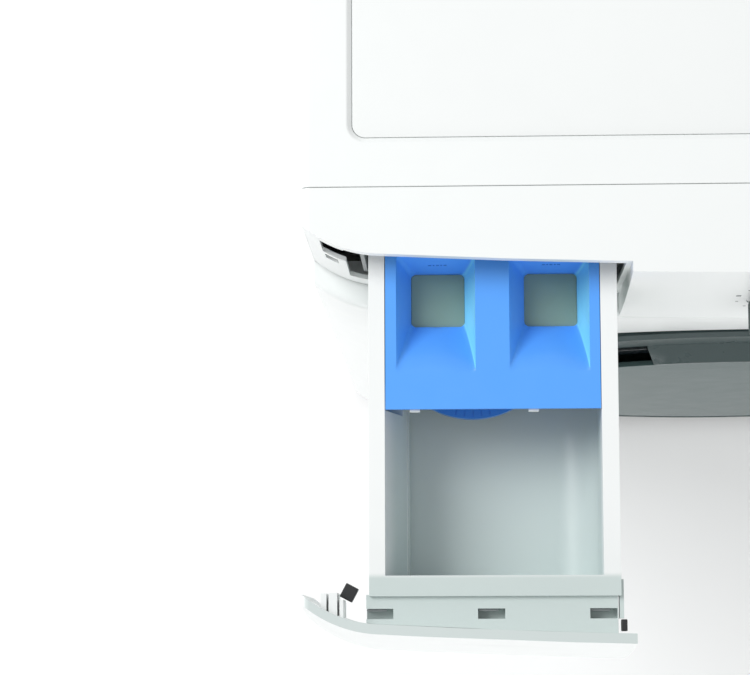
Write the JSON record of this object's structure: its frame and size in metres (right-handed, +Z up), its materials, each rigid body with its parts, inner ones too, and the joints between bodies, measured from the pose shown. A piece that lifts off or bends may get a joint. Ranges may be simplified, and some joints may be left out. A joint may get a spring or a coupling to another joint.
{
  "type": "front load washing machine",
  "caption": "Free-standing front loading washing machine with a pull-out detergent drawer, a round hinged door, a turning knob and a hung tub and drum.",
  "frame": {"origin": "middle of the footprint of the machine with its drawer pulled out, on the floor", "axes": "+X to the right seen from the front, +Y to the rear, +Z up; the drawer opens towards -Y"},
  "size_m": [0.598, 0.8028, 0.848],
  "materials": {
    "white_metal": "gloss white enamel",
    "white_plastic": "gloss white moulding",
    "board_white": "satin white laminate",
    "tray_plastic": "satin grey green moulding",
    "insert_blue": "satin translucent blue",
    "disc_blue": "satin dark blue",
    "door_grey": "dark grey green gloss",
    "grip_black": "gloss black",
    "tinted_glass": "smoked cover",
    "clear_glass": "clear glass",
    "black_plastic": "matt black moulding",
    "grey_plastic": "matt grey moulding",
    "tub_plastic": "glass filled moulding",
    "rubber": "matt rubber",
    "galvanised": "galvanised sheet",
    "steel": "machined steel",
    "stainless": "satin stainless",
    "cast_weight": "rough cast weight",
    "aluminium": "as cast",
    "board_green": "circuit board"
  },
  "bodies": {
    "cabinet": {"cabinet_shell": "white_metal", "rear_cover": "white_metal", "rear_screws": "steel", "transit_plugs": "grey_plastic", "top_brace": "galvanised", "base_tray": "grey_plastic", "levelling_feet": "black_plastic", "front_panel": "white_metal", "kick_plate": "white_plastic", "worktop_frame": "white_plastic", "worktop_panel": "board_white", "control_panel": "white_plastic", "display_window": "tinted_glass", "program_encoder": "black_plastic", "control_board": "board_green", "drawer_housing": "grey_plastic", "door_lock": "black_plastic", "hinge_bracket": "steel", "damper_cylinders": "black_plastic", "suspension_springs": "steel", "door_bellows": "rubber", "dispenser_hose": "rubber", "sump_hose": "rubber", "drain_pump": "black_plastic", "inlet_valve": "grey_plastic", "drain_outlet": "grey_plastic", "power_gland": "black_plastic"},
    "drawer": {"drawer_tray": "tray_plastic", "drawer_fascia": "white_plastic", "drawer_buffers": "black_plastic", "drawer_insert": "insert_blue", "dosing_disc": "disc_blue"},
    "door": {"door_frame": "door_grey", "door_bezel": "door_grey", "door_grip": "grip_black", "door_cover": "tinted_glass", "door_bowl": "clear_glass", "door_rear_ring": "grey_plastic", "hinge_pin": "steel"},
    "hook": {"latch_hook": "grey_plastic"},
    "knob": {"selector_knob": "door_grey"},
    "start_key": {"start_button": "door_grey"},
    "option_key": {"option_button": "door_grey"},
    "tub": {"tub_front": "tub_plastic", "tub_rear": "tub_plastic", "heater": "steel", "shaft_bearings": "steel", "shaft_seal": "rubber", "upper_weight": "cast_weight", "front_weight": "cast_weight", "motor_body": "galvanised", "drive_belt": "rubber", "damper_rods": "galvanised"},
    "drum_group": {"drum": "stainless", "drum_lifters": "stainless", "drum_spider": "aluminium", "drum_pulley": "aluminium"},
    "rotor": {"motor_pulley": "steel"},
    "flap": {"filter_flap": "white_plastic"},
    "filter": {"drain_filter": "grey_plastic"}
  },
  "joints": [
    {"name": "drawer_slide", "type": "slide", "parent": "cabinet", "child": "drawer", "axis": [0, 1, 0], "range_m": [0, 0.217]},
    {"name": "door_swing", "type": "hinge", "parent": "cabinet", "child": "door", "pos_m": [0.232, -0.18458, 0.43], "axis": [0, 0, 1], "range_deg": [0, 150]},
    {"name": "hook_swing", "type": "hinge", "parent": "door", "child": "hook", "pos_m": [-0.206, -0.17658, 0.43], "axis": [0, 0, 1], "range_deg": [0, 6], "stiffness_Nm_per_rad": 0.8},
    {"name": "knob_turn", "type": "hinge", "parent": "cabinet", "child": "knob", "pos_m": [0, -0.19658, 0.788], "axis": [0, -1, 0], "continuous": true},
    {"name": "start_press", "type": "slide", "parent": "cabinet", "child": "start_key", "axis": [0, 1, 0], "range_m": [0, 0.002], "stiffness_N_per_m": 400},
    {"name": "option_press", "type": "slide", "parent": "cabinet", "child": "option_key", "axis": [0, 1, 0], "range_m": [0, 0.002], "stiffness_N_per_m": 400},
    {"name": "tub_bounce", "type": "slide", "parent": "cabinet", "child": "tub", "axis": [0, 0, 1], "range_m": [-0.01, 0.01], "stiffness_N_per_m": 20000, "springref_m": 0.02904, "deforming": ["suspension_springs", "dispenser_hose", "sump_hose", "door_bellows"]},
    {"name": "drum_spin", "type": "hinge", "parent": "tub", "child": "drum_group", "pos_m": [0, 0.12342, 0.43], "axis": [0, 1, 0], "continuous": true},
    {"name": "motor_spin", "type": "hinge", "parent": "tub", "child": "rotor", "pos_m": [0.06, 0.27342, 0.108], "axis": [0, 1, 0], "continuous": true},
    {"name": "flap_swing", "type": "hinge", "parent": "cabinet", "child": "flap", "pos_m": [0.1666, -0.16938, 0.054], "axis": [0, 0, -1], "range_deg": [0, 100]},
    {"name": "filter_turn", "type": "hinge", "parent": "cabinet", "child": "filter", "pos_m": [0.214, -0.11658, 0.054], "axis": [0, -1, 0], "range_deg": [0, 270]}
  ],
  "couplings": [
    {"joint": "motor_spin", "follows": "drum_spin", "ratio": 14}
  ]
}
